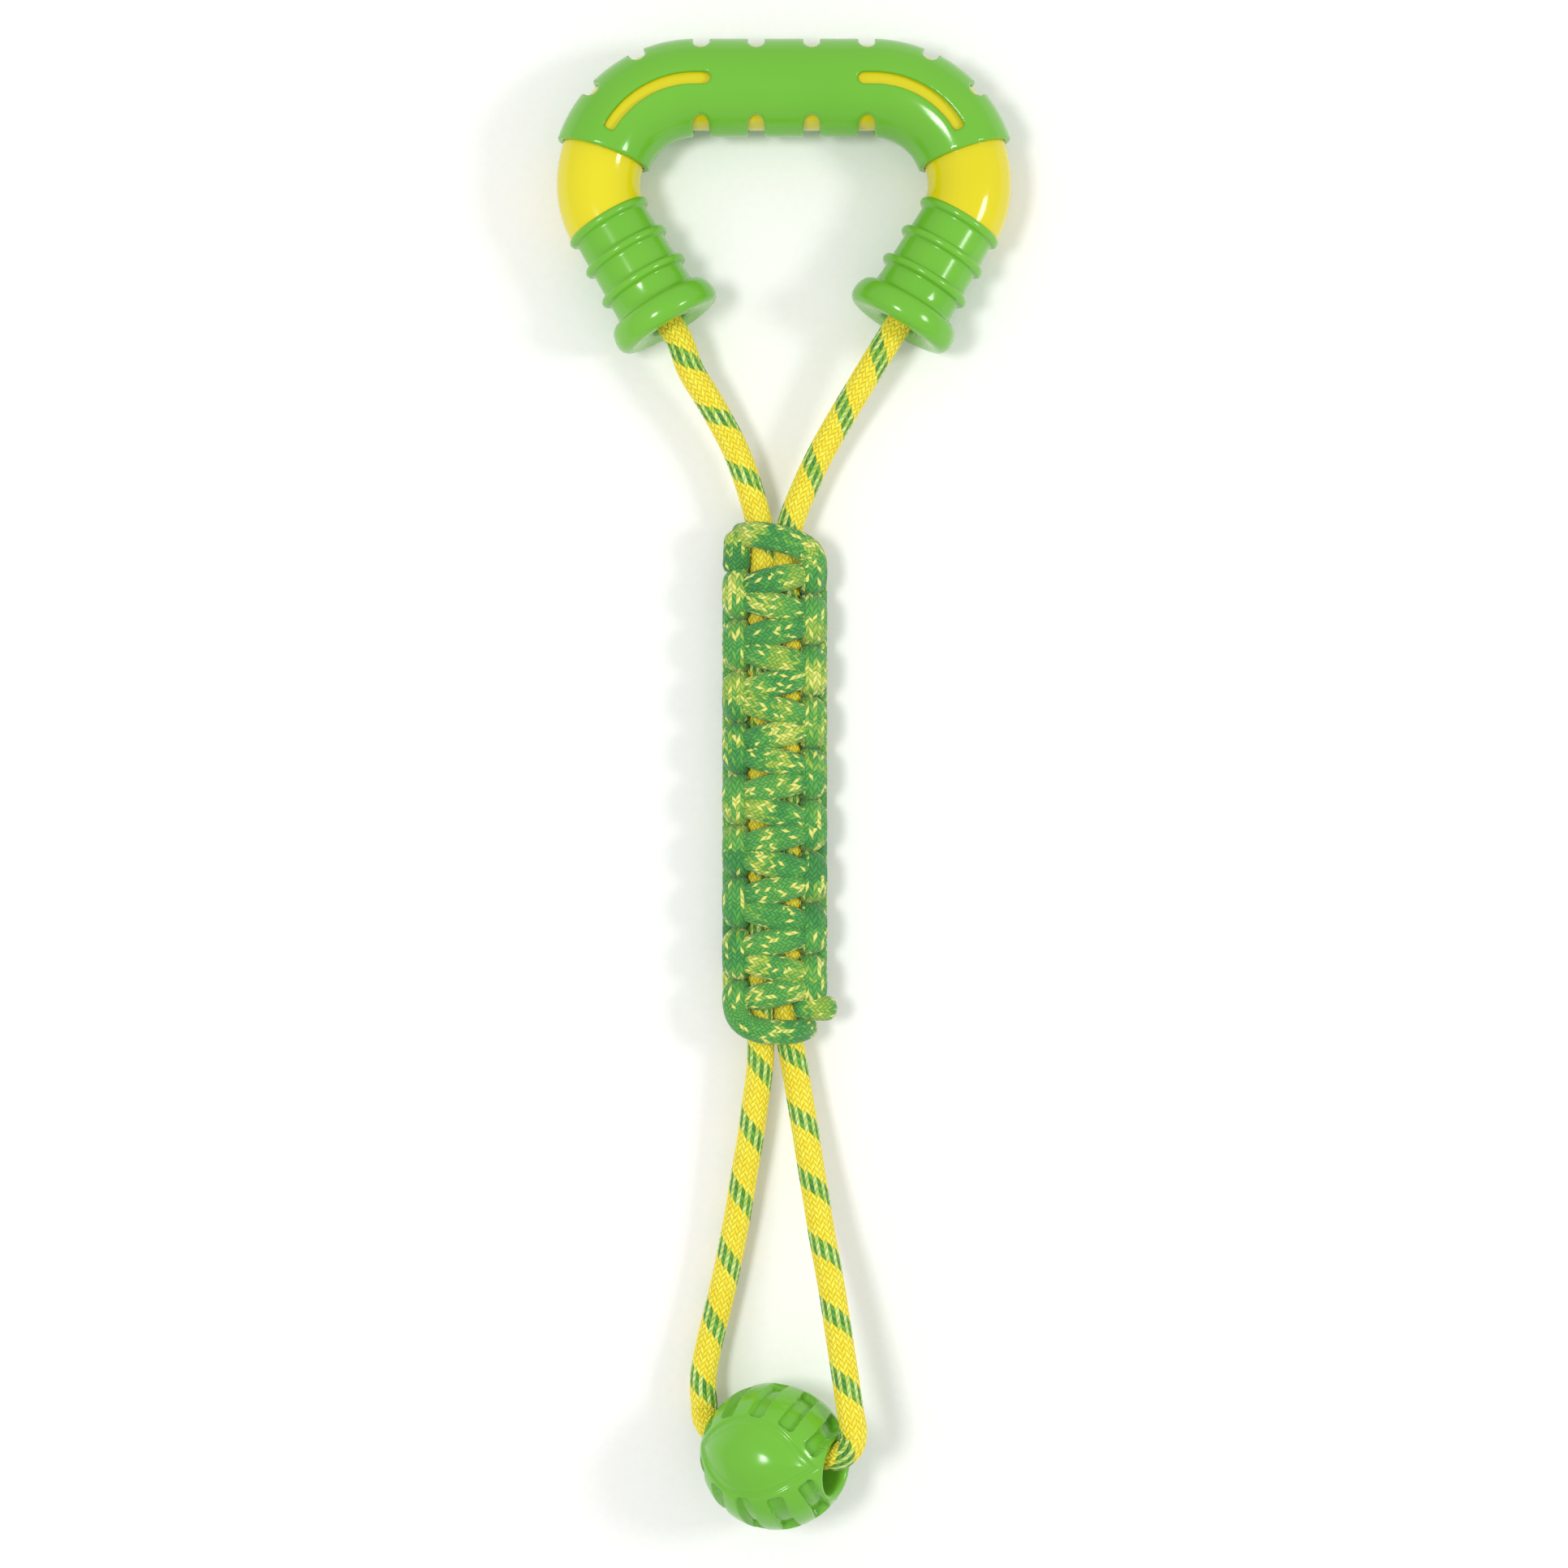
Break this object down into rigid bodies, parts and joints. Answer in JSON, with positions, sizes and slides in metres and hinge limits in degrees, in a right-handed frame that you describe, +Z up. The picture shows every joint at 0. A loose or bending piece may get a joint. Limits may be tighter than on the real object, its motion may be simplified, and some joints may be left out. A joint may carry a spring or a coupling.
{
  "type": "dog tug toy with bail handle and ball",
  "caption": "Bail handle with a soft notched grip, rope through two ribbed cuffs, square-knot braid on the rope, and a treaded rubber ball on its loop.",
  "frame": {"origin": "middle of the toy's length and width, on the surface that it lies on", "axes": "+Y from the ball to the grip along the toy's length, +X across the handle, +Z up from the surface"},
  "size_m": [0.1512, 0.4936, 0.0482],
  "materials": {
    "core_plastic": "yellow moulded plastic, glossy",
    "grip_rubber": "green soft moulded rubber, satin",
    "cuff_rubber": "green moulded rubber, satin to glossy",
    "rope": "yellow braided polyester rope with a green spiral tracer",
    "braid_cord": "space-dyed green and lime braided cord",
    "ball_rubber": "green moulded rubber, satin"
  },
  "bodies": {
    "handle": {"core_front": "core_plastic", "core_rear": "core_plastic", "grip_sleeve": "grip_rubber", "cuff_left": "cuff_rubber", "cuff_right": "cuff_rubber", "rope_knot_left": "rope", "rope_knot_right": "rope", "rope_upper_left": "rope", "rope_upper_right": "rope"},
    "braid": {"rope_braid_left": "rope", "rope_braid_right": "rope", "braid_cord_front": "braid_cord", "braid_cord_back": "braid_cord", "braid_tail_top": "braid_cord", "braid_tail_bottom": "braid_cord", "rope_lower_left": "rope", "rope_lower_right": "rope"},
    "loop": {"rope_ball": "rope"},
    "ball": {"ball": "ball_rubber"}
  },
  "joints": [
    {"name": "upper_rope_bend", "type": "hinge", "parent": "handle", "child": "braid", "pos_m": [-0.002, 0.118, 0.014], "axis": [1, 0, 0], "range_deg": [-120, 120], "deforming": ["rope_upper_left", "rope_upper_right"]},
    {"name": "lower_rope_bend", "type": "hinge", "parent": "braid", "child": "loop", "pos_m": [-0.002, -0.147, 0.0155], "axis": [1, 0, 0], "range_deg": [-120, 120], "deforming": ["rope_lower_left", "rope_lower_right"]},
    {"name": "ball_spin", "type": "hinge", "parent": "loop", "child": "ball", "pos_m": [-0.003, -0.223, 0.02418], "axis": [0.8876, -0.0777, 0.454], "continuous": true}
  ]
}
